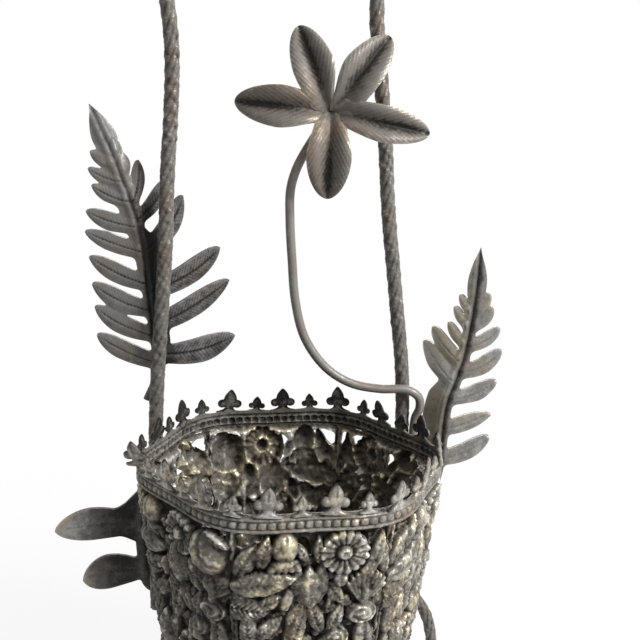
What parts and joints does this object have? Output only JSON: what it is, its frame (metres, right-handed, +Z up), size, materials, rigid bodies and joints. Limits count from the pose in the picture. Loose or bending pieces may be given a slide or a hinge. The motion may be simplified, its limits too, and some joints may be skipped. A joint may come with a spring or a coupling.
{
  "type": "footed flower basket planter",
  "caption": "Footed openwork brass basket planter: pierced floral wall, beaded fleur gallery, bowed rope legs, tall rope-twist arch handle with fern fronds and a flower on a bent stem.",
  "frame": {"origin": "on the ground under the middle of the object's bounding box", "axes": "+Z up, -Y to the front where the flower faces, +X to the viewer's right"},
  "size_m": [0.2358, 0.156, 0.4318],
  "materials": {
    "filigree": "cast brass, dark brown patina in the recesses, rubbed golden high spots",
    "gallery": "stamped brass, dark bronze patina, worn edges",
    "plate": "sheet brass, dull brown patina",
    "rope": "rope-twist rod, pitted brown-grey patina, dark in the lay",
    "leaf": "cast brass leaf, grey-bronze patina, dark veins",
    "petal": "cast brass petal, warm brown patina, dark valleys",
    "stem": "smooth bent rod, satin grey-bronze"
  },
  "bodies": {
    "root": {"panel_back_right": "filigree", "panel_back": "filigree", "panel_back_left": "filigree", "panel_front_left": "filigree", "panel_front": "filigree", "panel_front_right": "filigree", "rim_gallery_back_right": "gallery", "rim_gallery_back": "gallery", "rim_gallery_back_left": "gallery", "rim_gallery_front_left": "gallery", "rim_gallery_front": "gallery", "rim_gallery_front_right": "gallery", "base_plate": "plate", "rope_leg_right": "rope", "rope_leg_back_left": "rope", "rope_leg_front_left": "rope", "rope_upright_left": "rope", "rope_upright_right": "rope", "rope_arch": "rope", "fern_frond_left": "leaf", "fern_frond_right": "leaf", "fern_frond_low": "leaf", "flower_head": "petal", "flower_stem": "stem"}
  },
  "joints": []
}
